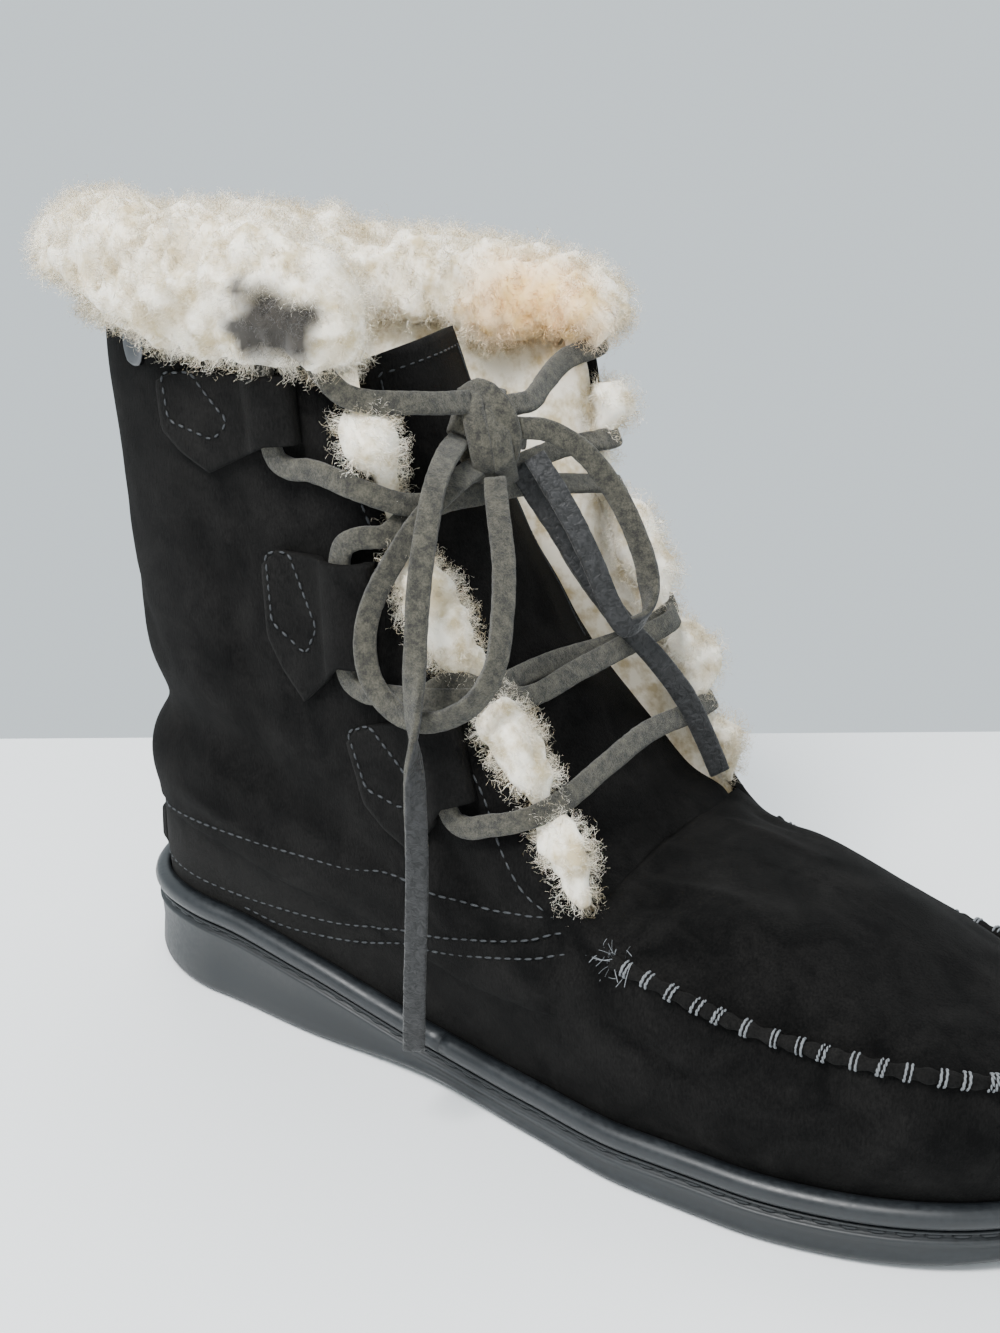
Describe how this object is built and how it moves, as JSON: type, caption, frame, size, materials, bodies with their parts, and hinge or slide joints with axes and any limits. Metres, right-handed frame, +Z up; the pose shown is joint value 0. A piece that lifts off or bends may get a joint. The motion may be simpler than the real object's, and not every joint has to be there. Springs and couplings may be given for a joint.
{
  "type": "mukluk boot",
  "caption": "Ankle-high laced suede boot with moccasin seam, shearling cuff and throat, suede lace tabs, bow-tied thong and moulded rubber sole with welt.",
  "frame": {"origin": "on the floor, under the middle of the box of the boot without the bow's cords", "axes": "+X towards the toe, +Y towards the inner (medial) side, +Z up"},
  "size_m": [0.2946, 0.1271, 0.2214],
  "materials": {
    "suede": "napped suede, matt",
    "wool": "curly shearling wool",
    "sole_rubber": "satin moulded",
    "welt_rubber": "satin, smooth",
    "lace_suede": "rough split suede thong, one side smooth and dark",
    "badge_metal": "satin plate"
  },
  "bodies": {
    "root": {"outsole": "sole_rubber", "welt": "welt_rubber", "insole": "wool", "upper": "suede", "tongue": "suede", "moc_seam": "suede", "heel_counter": "suede", "lace_tab_lateral_1": "suede", "lace_tab_lateral_2": "suede", "lace_tab_lateral_3": "suede", "lace_tab_medial_1": "suede", "lace_tab_medial_2": "suede", "lace_tab_medial_3": "suede", "badge": "badge_metal", "cuff_fur": "wool", "lace_crossings": "lace_suede", "throat_fur_lateral": "wool", "throat_fur_medial": "wool", "lace_knot": "lace_suede", "lace_loop_left": "lace_suede", "lace_loop_right": "lace_suede", "lace_end_left": "lace_suede", "lace_end_right": "lace_suede"}
  },
  "joints": []
}
